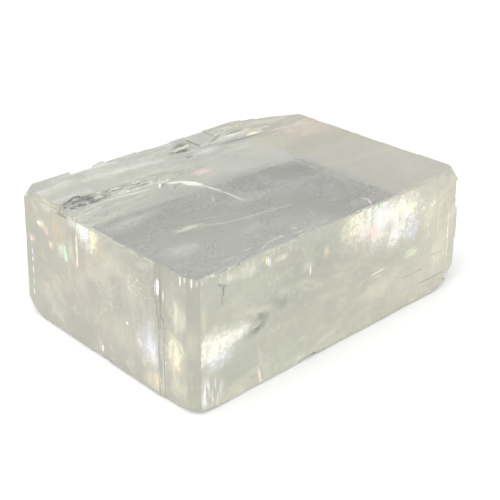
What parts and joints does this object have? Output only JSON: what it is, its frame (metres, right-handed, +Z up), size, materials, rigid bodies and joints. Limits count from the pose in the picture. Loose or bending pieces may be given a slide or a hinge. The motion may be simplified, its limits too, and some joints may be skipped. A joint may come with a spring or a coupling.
{
  "type": "iceland spar crystal",
  "caption": "Clear calcite cleavage rhomb: a slanted see-through block with flat faces, thin ledges, rubbed edges and chipped corners, resting on its flat base.",
  "frame": {"origin": "under the middle of the bounding box, on the plane of the base", "axes": "+X along the long edge, +Z up from the base; the short edge runs 101.92 degrees round from +X and the upright edges lean away from the corner nearest -X and -Y"},
  "size_m": [0.0916, 0.0608, 0.0276],
  "materials": {
    "calcite": "clear glassy cleavage faces with a faint grey-green tint"
  },
  "bodies": {
    "root": {"spar_crystal": "calcite"}
  },
  "joints": []
}
